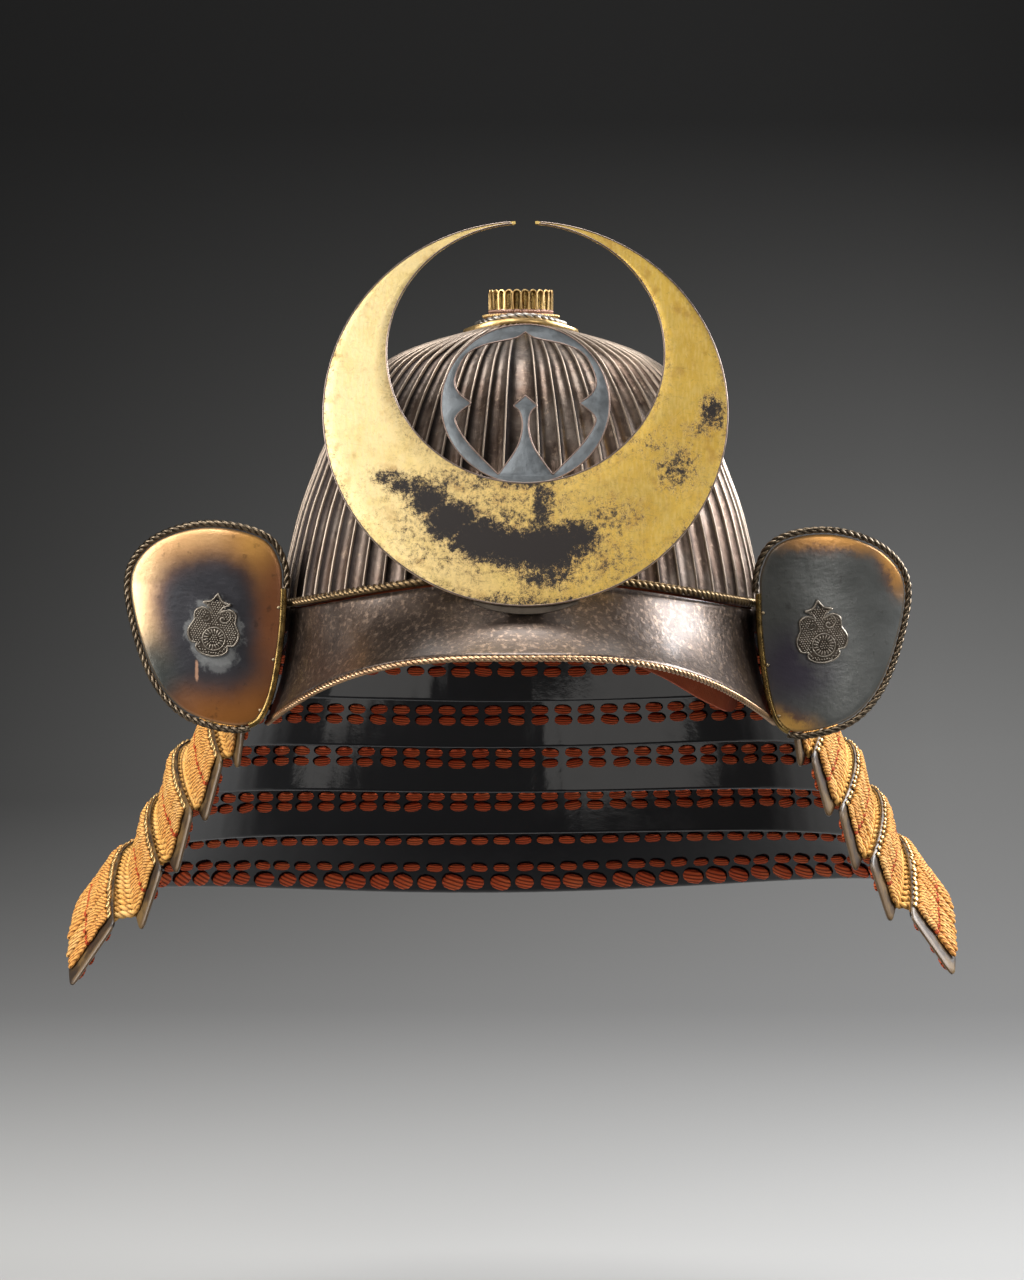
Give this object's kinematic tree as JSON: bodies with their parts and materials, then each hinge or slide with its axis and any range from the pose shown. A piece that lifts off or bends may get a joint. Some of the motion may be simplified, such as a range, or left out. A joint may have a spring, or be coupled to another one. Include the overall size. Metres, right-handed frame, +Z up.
{
  "type": "kabuto samurai helmet",
  "caption": "Ribbed iron helmet bowl with visor, turn-backs, laced neck guard of curved lames and a gilt crescent crest that lifts out of its bracket.",
  "frame": {"origin": "middle of the bowl's rim, level with the wearer's brow, where the helmet sits on a head", "axes": "+Z up through the hole in the crown, -Y towards the front with the crest, +X towards the wearer's left"},
  "size_m": [0.4536, 0.3824, 0.3709],
  "materials": {
    "russet_iron": "old iron with russet-brown patina, worn bright on the ribs",
    "dark_brass_rope": "twisted brass wire, tarnished dark in its grooves",
    "copper_rope": "twisted copper-gilt wire",
    "gilt": "old gilding, worn through to dark metal in patches",
    "silvered": "silvered copper, dull and brown in its hollows",
    "copper": "pinkish copper",
    "blue_grey_iron": "blue-grey patinated metal with a smooth edge",
    "black_lacquer": "glossy black lacquer inside, with worn gilt edges and pale patinated turn-backs",
    "orange_lacing": "close rows of golden-orange silk cord with red tufts",
    "red_cloth": "faded orange-red cloth"
  },
  "bodies": {
    "helmet": {"bowl": "russet_iron", "base_band": "russet_iron", "lining": "red_cloth", "visor": "russet_iron", "visor_top_rope": "dark_brass_rope", "visor_lip_rope": "copper_rope", "crown_flange": "gilt", "crown_rope_ring": "silvered", "crown_bead_ring": "silvered", "crown_collar": "copper", "crown_petals": "gilt", "neck_lame_1": "black_lacquer", "neck_lame_2": "black_lacquer", "lacing_2": "orange_lacing", "neck_lame_3": "black_lacquer", "lacing_3": "orange_lacing", "neck_lame_4": "black_lacquer", "lacing_4": "orange_lacing", "neck_lame_5": "black_lacquer", "lacing_5": "orange_lacing", "neck_lame_6": "black_lacquer", "lacing_6": "orange_lacing", "turn_back_rope_left": "dark_brass_rope", "turn_back_rope_right": "dark_brass_rope", "plaque_left": "silvered", "plaque_right": "silvered", "crest_bracket": "russet_iron"},
    "crest": {"crest_crescent": "gilt", "crest_openwork": "blue_grey_iron", "crest_tang": "gilt"}
  },
  "joints": [
    {"name": "crest_lift", "type": "slide", "parent": "helmet", "child": "crest", "axis": [0, 0.2419, 0.9703], "range_m": [0, 0.015]}
  ]
}
